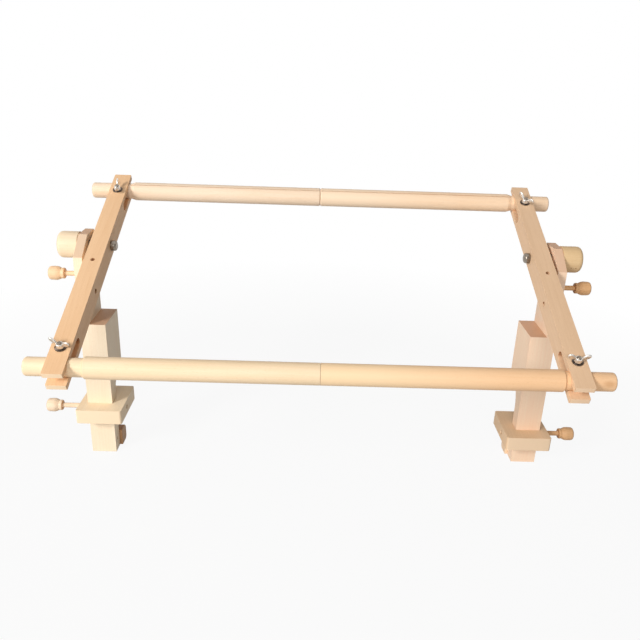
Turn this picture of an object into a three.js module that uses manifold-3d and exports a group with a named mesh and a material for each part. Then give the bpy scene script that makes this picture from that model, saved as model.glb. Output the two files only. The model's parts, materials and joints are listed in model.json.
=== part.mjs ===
// Table-clamp embroidery frame: two roller rods between two side bars, tilting on two clamped uprights.
// Millimetres, +Z up, X along the rods, -Y towards the stitcher.
// The origin is on the ground under the middle of the bounding box.

import * as THREE from "three";
import { mergeVertices } from "three/addons/utils/BufferGeometryUtils.js";
import Module from "manifold-3d";

const wasm = await Module();
wasm.setup();

// Clearances
const RUNNING_GAP = 0.3;
const SEAT_GAP = 0.3;
const THREAD_GAP = 0.2;

// Side bars, in the tilting frame's own axes with the pivot at zero
const BAR_LENGTH = 355;
const BAR_WIDTH = 22;
const BAR_HEIGHT = 25;
const BAR_CORNER = 1;
const BAR_INNER_X = 262;
const PIVOT_FROM_BACK_END = 136;
const FRAME_TILT_DEG = 23.5;
const MIDDLE_HOLE_D = 5.5;

// Slotted bar ends that grip the rods
const ROD_FROM_END = 20;
const SLOT_HEIGHT = 12;
const SLOT_LENGTH = 60;
const CLAMP_BOLT_FROM_END = 36;

// Roller rods, each in two halves on a hidden dowel
const ROD_D = 24;
const ROD_END_D = 20.5;
const ROD_END_ROUND = 3;
const ROD_SLOT_WIDTH = 1.4;
const ROD_SLOT_DEPTH = 5;
const DOWEL_D = 9;
const DOWEL_LENGTH = 70;
const FRONT_ROD = {
  seamX: 0,
  seamBevel: 0.4,
  slotTurnDeg: -60,
  coneLength: 1.5,
  shoulderInset: { left: 14.5, right: 4 },
  standOut: { left: 25, right: 28 },
};
const BACK_ROD = {
  seamX: -2.5,
  seamBevel: 1.8,
  slotTurnDeg: 100,
  coneLength: 5,
  shoulderInset: { left: 3.5, right: 3.5 },
  standOut: { left: 27, right: 26 },
};

// Clamp bolts, washers and wing nuts at the four corners
const CLAMP_BOLT_D = 5;
const CLAMP_HEAD_D = 12;
const CLAMP_HEAD_HEIGHT = 2.6;
const CLAMP_HEAD_RIM = 1.8;
const CLAMP_TIP = 1.2;
const WASHER_D = 12.5;
const WASHER_THICKNESS = 1;
const NUT_HUB_D = 9;
const NUT_HUB_TOP_D = 7.4;
const NUT_HUB_HEIGHT = 5;
const WING_SPAN = 24;
const WING_TOP = 11;
const WING_FOOT_Z = 1;
const WING_LOWER_EDGE_Z = 3.6;
const WING_THICKNESS = 2.4;
const WING_ROUND = 3.2;
const WING_ARC_DEG = { from: -60, to: 135 };
const WING_TURN_DEG = { left_front: -20, left_back: 95, right_front: 0, right_back: -55 };

// Pivot bolts, their washers and the big wooden knobs
const PIVOT_BOLT_D = 6;
const PIVOT_HEAD_D = 13;
const PIVOT_HEAD_HEIGHT = 7;
const PIVOT_HEAD_ROUND = 3;
const PIVOT_WASHER_D = 14;
const BAR_TO_ARM = 4.4;
const BIG_KNOB_D = 33;
const BIG_KNOB_LENGTH = 26;
const BIG_KNOB_ROUND = 6;
const BIG_KNOB_BEVEL = 1;
const INSERT_D = 10;
const INSERT_LENGTH = 15;
const INSERT_FLOOR = 2;
const BOLT_IN_KNOB = 13;

// Uprights: a thin arm above, a ledge and block, a cove and a narrow post below
const PIVOT_HEIGHT = 278;
const ARM_THICKNESS = 11;
const LEDGE_WIDTH = 21;
const UPRIGHT_FRONT_Y = -35;
const UPRIGHT_BACK_Y = 21;
const ARM_TOP_Z = 15.3;
const ARM_BEVEL_Y = 28.5;
const ARM_BEVEL_Z = 21.5;
const LEDGE_Z = -93;
const COVE_RADIUS = 38;
const POST_DEPTH = 18;

// Clamp plates that slide on the posts, and the fixed lower jaws
const PLATE_INNER_MARGIN = 16.3;
const PLATE_OUTER_MARGIN = 10;
const PLATE_FRONT_MARGIN = 21.5;
const PLATE_DEPTH = 71.5;
const PLATE_THICKNESS = 18.8;
const PLATE_CORNER = 3;
const PLATE_TRAVEL = 31;
const PLATE_RAISED = { left: 31, right: 7 };
const PLATE_LOWEST_GAP = 1.2;
const PLATE_INNER_HOLE_D = 6.5;
const JAW_HEIGHT = 23;
const JAW_REACH = 20;
const JAW_SIDE_STEP = 4;
const JAW_TOP_CORNER = 8;
const JAW_FOOT_CORNER = 6;
const TENON_WIDTH = 13;
const TENON_HEIGHT = 12;
const TENON_FROM_TOP = 1.5;
const TENON_LENGTH = 13;
const PIN_D = 4;
const PIN_RECESS = 1.5;

// Turned wooden thumb screws
const SCREW_D = 6.4;
const SCREW_COLLAR_D = 13.8;
const SCREW_COLLAR_LENGTH = 3.4;
const SCREW_HEAD_D = 18;
const SCREW_HEAD_LENGTH = 20;
const SCREW_FLARE_LENGTH = 8;
const SCREW_END_ROUND = 4;
const SCREW_NECK_BEVEL = 0.8;
const SCREW_TIP_BEVEL = 1;
const UPPER_SCREW_DROP = 38;
const UPPER_SCREW_REACH = { left: 23.5, right: 26 };
const LOWER_SCREW_REACH = { left: 26, right: 18.8 };

// Facets of round pieces
const FINE_SIDES = 28;
const ROUND_SIDES = 20;
const SMALL_SIDES = 12;
const CORNER_STEPS = 4;
const COVE_STEPS = 10;

// Sizes that follow from the ones above
const sides = { left: -1, right: 1 };
const tilt = THREE.MathUtils.degToRad(FRAME_TILT_DEG);
const barBackY = PIVOT_FROM_BACK_END;
const barFrontY = barBackY - BAR_LENGTH;
const barOuterX = BAR_INNER_X + BAR_WIDTH;
const barMiddleX = BAR_INNER_X + BAR_WIDTH / 2;
const barTopZ = BAR_HEIGHT / 2;
const barMiddleY = (barBackY + barFrontY) / 2;
const sparePivotY = 2 * barMiddleY;
const armInnerX = barOuterX + BAR_TO_ARM;
const armOuterX = armInnerX + ARM_THICKNESS;
const postInnerX = armInnerX - LEDGE_WIDTH;
const postMiddleX = (postInnerX + armOuterX) / 2;
const postBackY = UPRIGHT_FRONT_Y + POST_DEPTH;
const postMiddleY = UPRIGHT_FRONT_Y + POST_DEPTH / 2;
const footZ = -PIVOT_HEIGHT;
const jawTopZ = footZ + JAW_HEIGHT;
const tenonZ = jawTopZ - TENON_FROM_TOP - TENON_HEIGHT / 2;
const plateLowestZ = jawTopZ + PLATE_LOWEST_GAP;
const coveBottomZ = plateLowestZ + PLATE_THICKNESS + PLATE_TRAVEL + RUNNING_GAP;
const plateInnerX = postInnerX - PLATE_INNER_MARGIN;
const plateOuterX = armOuterX + PLATE_OUTER_MARGIN;
const plateFrontY = UPRIGHT_FRONT_Y - PLATE_FRONT_MARGIN;
const plateBackY = plateFrontY + PLATE_DEPTH;
const [leftReach, rightReach] = Object.keys(sides).map((sideName) => SCREW_HEAD_LENGTH
  + Math.max(armOuterX + UPPER_SCREW_REACH[sideName], plateOuterX + LOWER_SCREW_REACH[sideName]));
const centreX = (leftReach - rightReach) / 2;
const centreY = -barMiddleY * Math.cos(tilt);

// Materials, one for each kind of surface
const beech = new THREE.MeshStandardMaterial({ color: 0xe6bf92, roughness: 0.55, metalness: 0 });
const turnedBeech = new THREE.MeshStandardMaterial({ color: 0xf2d3a6, roughness: 0.5, metalness: 0 });
const turnedKnob = new THREE.MeshStandardMaterial({ color: 0xd9b384, roughness: 0.5, metalness: 0 });
const nickel = new THREE.MeshStandardMaterial({ color: 0xc9c8c4, roughness: 0.25, metalness: 1 });
const brass = new THREE.MeshStandardMaterial({ color: 0xc9a24f, roughness: 0.35, metalness: 1 });

// Closed solids for cutting and joining, and back again
function solidOf(geometry) {
  geometry.deleteAttribute("normal");
  geometry.deleteAttribute("uv");
  const merged = mergeVertices(geometry);
  return new wasm.Manifold(new wasm.Mesh({
    numProp: 3,
    vertProperties: new Float32Array(merged.attributes.position.array),
    triVerts: new Uint32Array(merged.index.array),
  }));
}

function geometryOf(solid) {
  const mesh = solid.getMesh();
  const geometry = new THREE.BufferGeometry();
  geometry.setAttribute("position", new THREE.BufferAttribute(new Float32Array(mesh.vertProperties), 3));
  geometry.setIndex(new THREE.BufferAttribute(new Uint32Array(mesh.triVerts), 1));
  geometry.computeVertexNormals();
  return geometry;
}

// A block between two corners, given in any order
function block([xa, ya, za], [xb, yb, zb]) {
  const geometry = new THREE.BoxGeometry(Math.abs(xb - xa), Math.abs(yb - ya), Math.abs(zb - za));
  return solidOf(geometry.translate((xa + xb) / 2, (ya + yb) / 2, (za + zb) / 2));
}

// A rod along X between two places
function rodX(diameter, xa, xb, y, z, sides) {
  const geometry = new THREE.CylinderGeometry(diameter / 2, diameter / 2, Math.abs(xb - xa), sides);
  return solidOf(geometry.rotateZ(Math.PI / 2).translate((xa + xb) / 2, y, z));
}

// A rod along Z between two heights
function rodZ(diameter, za, zb, x, y, sides) {
  const geometry = new THREE.CylinderGeometry(diameter / 2, diameter / 2, Math.abs(zb - za), sides);
  return solidOf(geometry.rotateX(Math.PI / 2).translate(x, y, (za + zb) / 2));
}

// A turned piece along X: the profile gives radius and distance, and the side gives the way it points
function turnedX(profile, side, y, z, sides) {
  const points = profile.map(([radius, along]) => new THREE.Vector2(radius, along));
  const geometry = new THREE.LatheGeometry(points, sides);
  return solidOf(geometry.rotateZ(-side * Math.PI / 2).translate(0, y, z));
}

// A turned piece along Z
function turnedZ(profile, x, y, sides) {
  const points = profile.map(([radius, along]) => new THREE.Vector2(radius, along));
  const geometry = new THREE.LatheGeometry(points, sides);
  return solidOf(geometry.rotateX(Math.PI / 2).translate(x, y, 0));
}

// A flat outline in Y and Z, carried along X
function boardX(shape, xa, xb, steps) {
  const geometry = new THREE.ExtrudeGeometry(shape, {
    depth: Math.abs(xb - xa), bevelEnabled: false, curveSegments: steps,
  });
  const turn = new THREE.Matrix4().set(0, 0, 1, Math.min(xa, xb), 1, 0, 0, 0, 0, 1, 0, 0, 0, 0, 0, 1);
  return solidOf(geometry.applyMatrix4(turn));
}

// A flat outline in X and Y, carried up along Z
function boardZ(shape, za, zb, steps) {
  const geometry = new THREE.ExtrudeGeometry(shape, {
    depth: zb - za, bevelEnabled: false, curveSegments: steps,
  });
  return solidOf(geometry.translate(0, 0, za));
}

// A rectangle with round corners
function roundedRectangle(xa, ya, xb, yb, corner) {
  const [left, right] = [Math.min(xa, xb), Math.max(xa, xb)];
  const [low, high] = [Math.min(ya, yb), Math.max(ya, yb)];
  const shape = new THREE.Shape();
  shape.moveTo(left + corner, low);
  shape.lineTo(right - corner, low);
  shape.absarc(right - corner, low + corner, corner, -Math.PI / 2, 0);
  shape.lineTo(right, high - corner);
  shape.absarc(right - corner, high - corner, corner, 0, Math.PI / 2);
  shape.lineTo(left + corner, high);
  shape.absarc(left + corner, high - corner, corner, Math.PI / 2, Math.PI);
  shape.lineTo(left, low + corner);
  shape.absarc(left + corner, low + corner, corner, Math.PI, 1.5 * Math.PI);
  return shape;
}

// A quarter round from one point of a profile to another, as points of radius and distance
function roundedEnd(radius, end, round, steps) {
  const points = [];
  for (let i = 0; i <= steps; i += 1) {
    const angle = (i / steps) * Math.PI / 2;
    points.push([radius - round + round * Math.cos(angle), end - round + round * Math.sin(angle)]);
  }
  return points;
}

function meshOf(name, solid, material) {
  const mesh = new THREE.Mesh(geometryOf(solid), material);
  mesh.name = name;
  return mesh;
}

// Side bar with a slot and a rod hole at each end, two pivot holes and a middle hole
function sideBar(side) {
  const innerX = side * BAR_INNER_X;
  const outerX = side * barOuterX;
  const beyondInner = innerX - side * BAR_WIDTH;
  const beyondOuter = outerX + side * BAR_WIDTH;
  let bar = boardZ(roundedRectangle(innerX, barFrontY, outerX, barBackY, BAR_CORNER), -barTopZ, barTopZ,
    CORNER_STEPS);
  for (const [endY, inward] of [[barFrontY, 1], [barBackY, -1]]) {
    const slotEndY = endY + inward * (SLOT_LENGTH - SLOT_HEIGHT / 2);
    bar = bar
      .subtract(block([beyondInner, endY - inward * BAR_WIDTH, -SLOT_HEIGHT / 2],
        [beyondOuter, slotEndY, SLOT_HEIGHT / 2]))
      .subtract(rodX(SLOT_HEIGHT, beyondInner, beyondOuter, slotEndY, 0, SMALL_SIDES))
      .subtract(rodX(ROD_END_D + 2 * RUNNING_GAP, beyondInner, beyondOuter, endY + inward * ROD_FROM_END, 0,
        FINE_SIDES))
      .subtract(rodZ(CLAMP_BOLT_D + 2 * RUNNING_GAP, -BAR_HEIGHT, BAR_HEIGHT, side * barMiddleX,
        endY + inward * CLAMP_BOLT_FROM_END, SMALL_SIDES));
  }
  for (const y of [0, sparePivotY]) {
    bar = bar.subtract(rodX(PIVOT_BOLT_D + 2 * RUNNING_GAP, beyondInner, beyondOuter, y, 0, SMALL_SIDES));
  }
  return bar.subtract(rodZ(MIDDLE_HOLE_D, -BAR_HEIGHT, BAR_HEIGHT, side * barMiddleX, barMiddleY,
    SMALL_SIDES));
}

// One half of a roller rod: thick between the bars, stepped down to pass through the bar end
function rodHalf(sideName, y, rod) {
  const side = sides[sideName];
  const radius = ROD_D / 2;
  const endRadius = ROD_END_D / 2;
  const start = SEAT_GAP / 2 + side * rod.seamX;
  const shoulder = BAR_INNER_X - rod.shoulderInset[sideName];
  const reach = barOuterX + rod.standOut[sideName];
  const profile = [
    [0, start], [radius - rod.seamBevel, start], [radius, start + rod.seamBevel],
    [radius, shoulder - rod.coneLength], [endRadius, shoulder],
    ...roundedEnd(endRadius, reach, ROD_END_ROUND, CORNER_STEPS), [0, reach],
  ];
  const dowelEnd = rod.seamX + side * (DOWEL_LENGTH / 2 + SEAT_GAP);
  const slot = block([rod.seamX - side * ROD_D, radius - ROD_SLOT_DEPTH, -ROD_SLOT_WIDTH / 2],
    [side * shoulder, ROD_D, ROD_SLOT_WIDTH / 2]).rotate([rod.slotTurnDeg, 0, 0]);
  return turnedX(profile, side, 0, 0, FINE_SIDES)
    .subtract(rodX(DOWEL_D + 2 * SEAT_GAP, rod.seamX - side * DOWEL_D, dowelEnd, 0, 0, SMALL_SIDES))
    .subtract(slot)
    .translate([0, y, 0]);
}

function rodDowel(y, rod) {
  return rodX(DOWEL_D, rod.seamX - DOWEL_LENGTH / 2, rod.seamX + DOWEL_LENGTH / 2, y, 0, SMALL_SIDES);
}

// Clamp bolt with a round head under the bar and its thread through the wing nut
function clampBolt(x, y) {
  const radius = CLAMP_BOLT_D / 2;
  const headTop = -barTopZ - SEAT_GAP;
  const tip = nutBottomZ() + NUT_HUB_HEIGHT + CLAMP_TIP;
  const head = CLAMP_HEAD_D / 2;
  return turnedZ([
    [0, headTop - CLAMP_HEAD_HEIGHT], [head - CLAMP_HEAD_HEIGHT, headTop - CLAMP_HEAD_HEIGHT],
    [head, headTop - CLAMP_HEAD_HEIGHT + CLAMP_HEAD_RIM], [head, headTop], [radius, headTop],
    [radius, tip - THREAD_GAP], [radius - THREAD_GAP, tip], [0, tip],
  ], x, y, SMALL_SIDES);
}

function nutBottomZ() {
  return barTopZ + WASHER_THICKNESS + 2 * SEAT_GAP;
}

function clampWasher(x, y) {
  const bottom = barTopZ + SEAT_GAP;
  const inner = CLAMP_BOLT_D / 2 + THREAD_GAP;
  const outer = WASHER_D / 2;
  return turnedZ([
    [inner, bottom], [outer, bottom], [outer, bottom + WASHER_THICKNESS], [inner, bottom + WASHER_THICKNESS],
    [inner, bottom],
  ], x, y, ROUND_SIDES);
}

// Wing nut: a tapered hub with two upturned wings
function wingNut(x, y, turnDeg) {
  const bottom = nutBottomZ();
  const wingBase = NUT_HUB_TOP_D / 2 - WING_THICKNESS / 2;
  const outline = new THREE.Shape();
  outline.moveTo(wingBase, WING_FOOT_Z);
  outline.lineTo(NUT_HUB_D / 2, WING_FOOT_Z);
  outline.lineTo(WING_SPAN / 2 - WING_ROUND, WING_LOWER_EDGE_Z);
  outline.absarc(WING_SPAN / 2 - WING_ROUND, WING_TOP - WING_ROUND, WING_ROUND,
    THREE.MathUtils.degToRad(WING_ARC_DEG.from), THREE.MathUtils.degToRad(WING_ARC_DEG.to));
  outline.lineTo(wingBase, NUT_HUB_HEIGHT);
  const wing = new THREE.ExtrudeGeometry(outline, {
    depth: WING_THICKNESS, bevelEnabled: false, curveSegments: CORNER_STEPS,
  }).translate(0, 0, -WING_THICKNESS / 2).rotateX(Math.PI / 2);
  const wingSolid = solidOf(wing);
  return turnedZ([
    [0, 0], [NUT_HUB_D / 2, 0], [NUT_HUB_TOP_D / 2, NUT_HUB_HEIGHT], [0, NUT_HUB_HEIGHT],
  ], 0, 0, SMALL_SIDES)
    .add(wingSolid)
    .add(wingSolid.rotate([0, 0, 180]))
    .subtract(rodZ(CLAMP_BOLT_D + 2 * THREAD_GAP, -NUT_HUB_HEIGHT, 2 * WING_TOP, 0, 0, SMALL_SIDES))
    .rotate([0, 0, turnDeg])
    .translate([x, y, bottom]);
}

// Pivot bolt with a domed head on the bar's inner face, reaching into the big knob
function pivotBolt(side) {
  const headSeat = BAR_INNER_X - SEAT_GAP;
  const tip = armOuterX + SEAT_GAP + BOLT_IN_KNOB;
  const head = PIVOT_HEAD_D / 2;
  const radius = PIVOT_BOLT_D / 2;
  return turnedX([
    [0, headSeat - PIVOT_HEAD_HEIGHT],
    ...roundedEnd(head, PIVOT_HEAD_HEIGHT, PIVOT_HEAD_ROUND, CORNER_STEPS).reverse()
      .map(([r, along]) => [r, headSeat - along]),
    [head, headSeat], [radius, headSeat], [radius, tip], [0, tip],
  ], side, 0, 0, ROUND_SIDES);
}

function pivotWasher(side) {
  const inner = PIVOT_BOLT_D / 2 + RUNNING_GAP;
  const outer = PIVOT_WASHER_D / 2;
  const start = barOuterX + SEAT_GAP;
  const end = armInnerX - SEAT_GAP;
  return turnedX([[inner, start], [outer, start], [outer, end], [inner, end], [inner, start]], side, 0, 0,
    ROUND_SIDES);
}

// Big wooden knob with a blind bore for its threaded insert
function bigKnob(side) {
  const start = armOuterX + SEAT_GAP;
  const end = start + BIG_KNOB_LENGTH;
  const radius = BIG_KNOB_D / 2;
  return turnedX([
    [0, start], [radius - BIG_KNOB_BEVEL, start], [radius, start + BIG_KNOB_BEVEL],
    ...roundedEnd(radius, end, BIG_KNOB_ROUND, CORNER_STEPS), [0, end],
  ], side, 0, 0, FINE_SIDES)
    .subtract(rodX(INSERT_D + 2 * SEAT_GAP, side * (start - INSERT_D),
      side * (start + INSERT_LENGTH + SEAT_GAP), 0, 0, SMALL_SIDES));
}

function knobInsert(side) {
  const start = armOuterX + SEAT_GAP;
  const end = start + INSERT_LENGTH;
  const inner = PIVOT_BOLT_D / 2 + THREAD_GAP;
  const outer = INSERT_D / 2;
  const floor = end - INSERT_FLOOR + SEAT_GAP;
  return turnedX([
    [inner, start], [outer, start], [outer, end], [0, end], [0, floor], [inner, floor], [inner, start],
  ], side, 0, 0, SMALL_SIDES);
}

// Upright: one board, cut away above the ledge so that only the arm runs up past the side bar
function upright(side) {
  const outline = new THREE.Shape();
  outline.moveTo(UPRIGHT_FRONT_Y, footZ);
  outline.lineTo(postBackY, footZ);
  outline.lineTo(postBackY, coveBottomZ);
  outline.absarc(postBackY + COVE_RADIUS, coveBottomZ, COVE_RADIUS, Math.PI, Math.PI / 2, true);
  outline.lineTo(UPRIGHT_BACK_Y, ARM_TOP_Z);
  outline.lineTo(UPRIGHT_FRONT_Y + ARM_BEVEL_Y, ARM_TOP_Z);
  outline.lineTo(UPRIGHT_FRONT_Y, ARM_TOP_Z - ARM_BEVEL_Z);
  const outerX = side * armOuterX;
  const innerX = side * postInnerX;
  const beyondX = innerX - side * LEDGE_WIDTH;
  return boardX(outline, innerX, outerX, COVE_STEPS)
    .subtract(block([beyondX, UPRIGHT_FRONT_Y - LEDGE_WIDTH, LEDGE_Z],
      [side * armInnerX, UPRIGHT_BACK_Y + LEDGE_WIDTH, ARM_TOP_Z + LEDGE_WIDTH]))
    .subtract(rodX(PIVOT_BOLT_D + 2 * RUNNING_GAP, innerX, outerX + side * LEDGE_WIDTH, 0, 0, SMALL_SIDES))
    .subtract(rodX(SCREW_D + 2 * RUNNING_GAP, innerX, outerX + side * LEDGE_WIDTH, 0, -UPPER_SCREW_DROP,
      SMALL_SIDES))
    .subtract(block([side * postMiddleX - TENON_WIDTH / 2 - SEAT_GAP, postBackY + LEDGE_WIDTH,
      tenonZ - TENON_HEIGHT / 2 - SEAT_GAP],
    [side * postMiddleX + TENON_WIDTH / 2 + SEAT_GAP, postBackY - TENON_LENGTH - SEAT_GAP,
      tenonZ + TENON_HEIGHT / 2 + SEAT_GAP]))
    .subtract(rodX(PIN_D, beyondX, outerX + side * LEDGE_WIDTH, postMiddleY, tenonZ, SMALL_SIDES));
}

// Lower jaw: a block with a rounded nose behind the post, tenoned into it
function lowerJaw(side) {
  const frontY = postBackY + SEAT_GAP;
  const backY = postBackY + JAW_REACH;
  const outline = new THREE.Shape();
  outline.moveTo(frontY, footZ);
  outline.lineTo(backY - JAW_FOOT_CORNER, footZ);
  outline.absarc(backY - JAW_FOOT_CORNER, footZ + JAW_FOOT_CORNER, JAW_FOOT_CORNER, -Math.PI / 2, 0);
  outline.absarc(backY - JAW_TOP_CORNER, jawTopZ - JAW_TOP_CORNER, JAW_TOP_CORNER, 0, Math.PI / 2);
  outline.lineTo(frontY, jawTopZ);
  const middleX = side * postMiddleX;
  const innerX = side * (postInnerX - JAW_SIDE_STEP);
  const outerX = side * (armOuterX + JAW_SIDE_STEP);
  return boardX(outline, innerX, outerX, CORNER_STEPS)
    .add(block([middleX - TENON_WIDTH / 2, frontY + TENON_WIDTH / 2, tenonZ - TENON_HEIGHT / 2],
      [middleX + TENON_WIDTH / 2, postBackY - TENON_LENGTH, tenonZ + TENON_HEIGHT / 2]))
    .subtract(rodX(PIN_D, side * postInnerX, side * armOuterX, postMiddleY, tenonZ, SMALL_SIDES));
}

// Steel pin across the post and the jaw's tenon, sunk a little below the wood
function jawPin(side) {
  return rodX(PIN_D - 2 * SEAT_GAP, side * (postInnerX + PIN_RECESS), side * (armOuterX - PIN_RECESS),
    postMiddleY, tenonZ, SMALL_SIDES);
}

// Clamp plate: a thick plate that slides on the post
function clampPlate(side, bottomZ) {
  const topZ = bottomZ + PLATE_THICKNESS;
  const middleZ = (bottomZ + topZ) / 2;
  const innerX = side * plateInnerX;
  const outerX = side * plateOuterX;
  const plan = roundedRectangle(innerX, plateFrontY, outerX, plateBackY, PLATE_CORNER);
  const postHole = block(
    [side * (postInnerX - RUNNING_GAP), UPRIGHT_FRONT_Y - RUNNING_GAP, bottomZ - PLATE_THICKNESS],
    [side * (armOuterX + RUNNING_GAP), postBackY + RUNNING_GAP, topZ + PLATE_THICKNESS]);
  return boardZ(plan, bottomZ, topZ, CORNER_STEPS)
    .subtract(postHole)
    .subtract(rodX(SCREW_D + 2 * RUNNING_GAP, side * postMiddleX, outerX + side * PLATE_THICKNESS,
      postMiddleY, middleZ, SMALL_SIDES))
    .subtract(rodX(PLATE_INNER_HOLE_D, side * postMiddleX, innerX - side * PLATE_THICKNESS, postMiddleY,
      middleZ, SMALL_SIDES));
}

// Turned wooden thumb screw: threaded shank, collar, flare and rounded head
function thumbScrew(side, tipX, headX, y, z) {
  const radius = SCREW_D / 2;
  const collar = SCREW_COLLAR_D / 2;
  const headRadius = SCREW_HEAD_D / 2;
  return turnedX([
    [0, tipX], [radius - SCREW_TIP_BEVEL, tipX], [radius, tipX + SCREW_TIP_BEVEL], [radius, headX],
    [collar - SCREW_NECK_BEVEL, headX], [collar, headX + SCREW_NECK_BEVEL],
    [collar, headX + SCREW_COLLAR_LENGTH],
    [headRadius, headX + SCREW_FLARE_LENGTH],
    ...roundedEnd(headRadius, headX + SCREW_HEAD_LENGTH, SCREW_END_ROUND, CORNER_STEPS),
    [0, headX + SCREW_HEAD_LENGTH],
  ], side, y, z, ROUND_SIDES);
}

const ends = {
  front: { y: barFrontY, inward: 1, rod: FRONT_ROD },
  back: { y: barBackY, inward: -1, rod: BACK_ROD },
};

// The tilting frame
const frame = new THREE.Group();
frame.rotation.x = tilt;
for (const [sideName, side] of Object.entries(sides)) {
  frame.add(meshOf(`side_bar_${sideName}`, sideBar(side), beech));
  frame.add(meshOf(`pivot_bolt_${sideName}`, pivotBolt(side), nickel));
  frame.add(meshOf(`pivot_washer_${sideName}`, pivotWasher(side), nickel));
  frame.add(meshOf(`big_knob_${sideName}`, bigKnob(side), turnedKnob));
  frame.add(meshOf(`knob_insert_${sideName}`, knobInsert(side), brass));
  for (const [endName, end] of Object.entries(ends)) {
    const corner = `${sideName}_${endName}`;
    const x = side * barMiddleX;
    const y = end.y + end.inward * CLAMP_BOLT_FROM_END;
    frame.add(meshOf(`clamp_bolt_${corner}`, clampBolt(x, y), nickel));
    frame.add(meshOf(`clamp_washer_${corner}`, clampWasher(x, y), nickel));
    frame.add(meshOf(`wing_nut_${corner}`, wingNut(x, y, WING_TURN_DEG[corner]), nickel));
  }
}
for (const [endName, end] of Object.entries(ends)) {
  const y = end.y + end.inward * ROD_FROM_END;
  for (const sideName of Object.keys(sides)) {
    frame.add(meshOf(`${endName}_rod_${sideName}`, rodHalf(sideName, y, end.rod), turnedBeech));
  }
  frame.add(meshOf(`${endName}_rod_dowel`, rodDowel(y, end.rod), beech));
}

// The uprights with their clamps
const stand = new THREE.Group();
for (const [sideName, side] of Object.entries(sides)) {
  const plateZ = plateLowestZ + PLATE_RAISED[sideName];
  stand.add(meshOf(`upright_${sideName}`, upright(side), beech));
  stand.add(meshOf(`lower_jaw_${sideName}`, lowerJaw(side), beech));
  stand.add(meshOf(`jaw_pin_${sideName}`, jawPin(side), nickel));
  stand.add(meshOf(`clamp_plate_${sideName}`, clampPlate(side, plateZ), beech));
  const upperScrew = thumbScrew(side, armInnerX + SEAT_GAP, armOuterX + UPPER_SCREW_REACH[sideName], 0,
    -UPPER_SCREW_DROP);
  stand.add(meshOf(`upper_screw_${sideName}`, upperScrew, turnedKnob));
  const lowerScrew = thumbScrew(side, armOuterX + 2 * RUNNING_GAP, plateOuterX + LOWER_SCREW_REACH[sideName],
    postMiddleY, plateZ + PLATE_THICKNESS / 2);
  stand.add(meshOf(`lower_screw_${sideName}`, lowerScrew, turnedKnob));
}

// Everything, with the origin on the ground
const part = new THREE.Group();
for (const group of [frame, stand]) {
  group.position.set(centreX, centreY, PIVOT_HEIGHT);
  part.add(group);
}

export default part;
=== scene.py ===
import json
import math

import bmesh
import bpy
import numpy as np
from mathutils import Matrix, Vector

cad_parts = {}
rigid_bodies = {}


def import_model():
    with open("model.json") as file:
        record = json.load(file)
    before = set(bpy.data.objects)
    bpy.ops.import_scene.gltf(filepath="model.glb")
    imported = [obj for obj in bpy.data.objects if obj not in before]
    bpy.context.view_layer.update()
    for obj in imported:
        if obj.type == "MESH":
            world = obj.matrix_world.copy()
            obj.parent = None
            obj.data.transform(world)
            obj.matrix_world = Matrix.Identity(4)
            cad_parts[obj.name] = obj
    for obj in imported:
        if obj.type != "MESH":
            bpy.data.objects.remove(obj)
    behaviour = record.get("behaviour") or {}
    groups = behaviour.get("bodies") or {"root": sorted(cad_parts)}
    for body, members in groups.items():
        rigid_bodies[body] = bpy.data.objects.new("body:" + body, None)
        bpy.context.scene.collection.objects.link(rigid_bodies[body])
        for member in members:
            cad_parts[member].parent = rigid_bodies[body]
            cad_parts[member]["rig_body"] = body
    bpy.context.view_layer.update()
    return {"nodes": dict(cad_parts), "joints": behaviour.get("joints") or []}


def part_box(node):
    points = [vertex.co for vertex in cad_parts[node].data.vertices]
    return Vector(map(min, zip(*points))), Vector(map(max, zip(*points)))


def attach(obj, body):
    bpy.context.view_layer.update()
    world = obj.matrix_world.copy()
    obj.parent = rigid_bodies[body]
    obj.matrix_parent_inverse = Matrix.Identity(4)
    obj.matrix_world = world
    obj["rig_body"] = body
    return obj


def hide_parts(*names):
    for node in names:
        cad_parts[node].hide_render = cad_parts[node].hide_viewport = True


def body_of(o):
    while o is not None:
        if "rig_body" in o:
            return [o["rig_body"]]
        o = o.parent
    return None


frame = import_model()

MM = 0.001
MERGE_DISTANCE = 0.001 * MM
SMALLEST = 1e-9

# Camera, from a pinhole fitted to the photograph and placed from the middle of the pivot axis
CAMERA_FROM_PIVOT = (-14.99 * MM, -836.9 * MM, 248.43 * MM)
CAMERA_YAW_DEG = 1.109
CAMERA_DOWN_DEG = 22.137
CAMERA_ROLL_DEG = 2.057
CAMERA_LENS_MM = 39.005
CAMERA_SENSOR_MM = 36

# Studio
FLOOR_REACH = 9
FLOOR_WHITE_SHARE = 0.92
FLOOR_TONE = (0.6, 0.6, 0.6, 1)
FLOOR_FADE = (0.45, 0.9)
WHITE = (1, 1, 1, 1)
WORLD_STRENGTH = 0.24
AIM = (0, 0, 0.2)
LAMPS = {
    "key": ((-2.2, -2.1, 1.6), 0.9, 84),
    "front": ((-0.3, -3.2, 1.7), 0.9, 34),
}
DARK_CARDS = {"behind_camera": ((0.2, -2.2, 1.6), (3.0, 1.8)), "right": ((2.2, -0.4, 0.9), (1.6, 1.6))}
DARK_CARD_TONE = (0.01, 0.01, 0.01, 1)

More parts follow.
